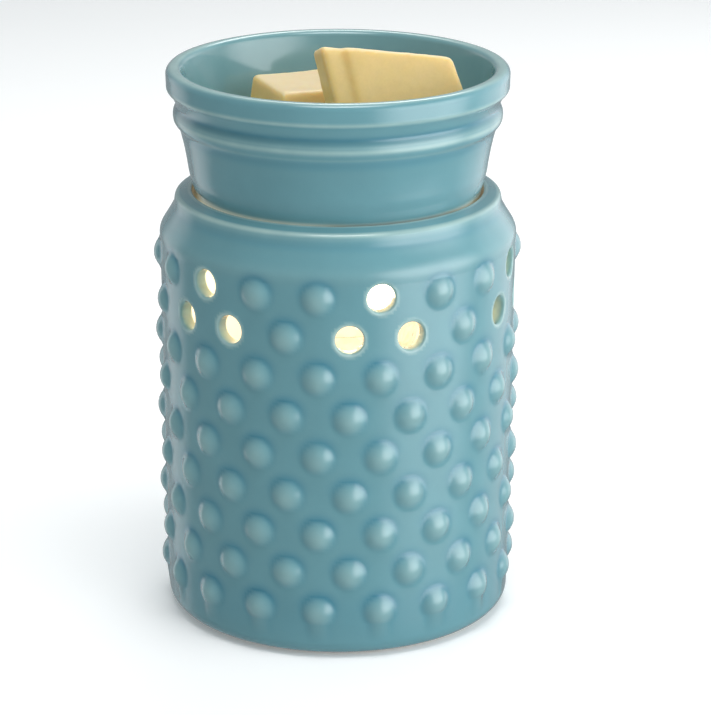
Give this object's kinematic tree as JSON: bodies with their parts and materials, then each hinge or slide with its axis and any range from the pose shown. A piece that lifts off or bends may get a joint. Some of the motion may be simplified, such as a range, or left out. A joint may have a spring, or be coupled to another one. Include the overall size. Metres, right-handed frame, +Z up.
{
  "type": "scented wax warmer",
  "caption": "Lamp-heated scented wax warmer: studded ceramic body with pierced light holes, lift-out glazed dish holding wax melts, twist-lock reflector lamp inside.",
  "frame": {"origin": "on the body's axis at the resting plane, under the rubber feet", "axes": "+Z up; front of the body, a light hole group's middle, towards -Y; cord inlet towards +Y"},
  "size_m": [0.109, 0.1088, 0.1749],
  "materials": {
    "glaze": "gloss glaze",
    "wax": "soft satin wax",
    "rubber": "matte",
    "cover": "fine matt grain",
    "steel": "zinc plated",
    "brass": "satin",
    "porcelain": "matt porcelain",
    "reflector": "faceted reflector coat",
    "lamp_glass": "clear",
    "sleeving": "woven sleeving"
  },
  "bodies": {
    "base": {"base_cover": "cover", "base_nut_1": "steel", "base_nut_2": "steel", "base_nut_3": "steel", "base_screw_1": "steel", "base_screw_2": "steel", "base_screw_3": "steel", "block_screw": "steel", "bracket_screw_1": "steel", "bracket_screw_2": "steel", "carrier_plate": "steel", "ceramic_body": "glaze", "cord_grommet": "rubber", "floor_gasket": "rubber", "holder_contact_live": "brass", "holder_contact_neutral": "brass", "holder_screw_1": "steel", "holder_screw_2": "steel", "lamp_bracket": "steel", "lamp_holder": "porcelain", "lead_live": "sleeving", "lead_neutral": "sleeving", "rubber_foot_1": "rubber", "rubber_foot_2": "rubber", "rubber_foot_3": "rubber", "rubber_foot_4": "rubber", "terminal_block": "porcelain", "terminal_screw_1": "steel", "terminal_screw_2": "steel", "terminal_screw_3": "steel", "terminal_screw_4": "steel", "terminal_sleeve_live": "brass", "terminal_sleeve_neutral": "brass"},
    "dish": {"wax_dish": "glaze"},
    "melt_left": {"wax_melt_left": "wax"},
    "melt_right": {"wax_melt_right": "wax"},
    "lamp": {"bulb_base": "porcelain", "bulb_pin_live": "brass", "bulb_pin_neutral": "brass", "bulb_reflector": "reflector", "bulb_lens": "lamp_glass", "bulb_capsule": "lamp_glass"}
  },
  "joints": [
    {"name": "dish_lift", "type": "slide", "parent": "base", "child": "dish", "axis": [0, 0, 1], "range_m": [0, 0.06]},
    {"name": "melt_left_lift", "type": "slide", "parent": "dish", "child": "melt_left", "axis": [0, 0, 1], "range_m": [0, 0.05]},
    {"name": "melt_right_lift", "type": "slide", "parent": "dish", "child": "melt_right", "axis": [0, 0, 1], "range_m": [0, 0.05]},
    {"name": "lamp_twist", "type": "hinge", "parent": "base", "child": "lamp", "pos_m": [0, 0, 0.05], "axis": [0, 0, 1], "range_deg": [0, 20]}
  ]
}
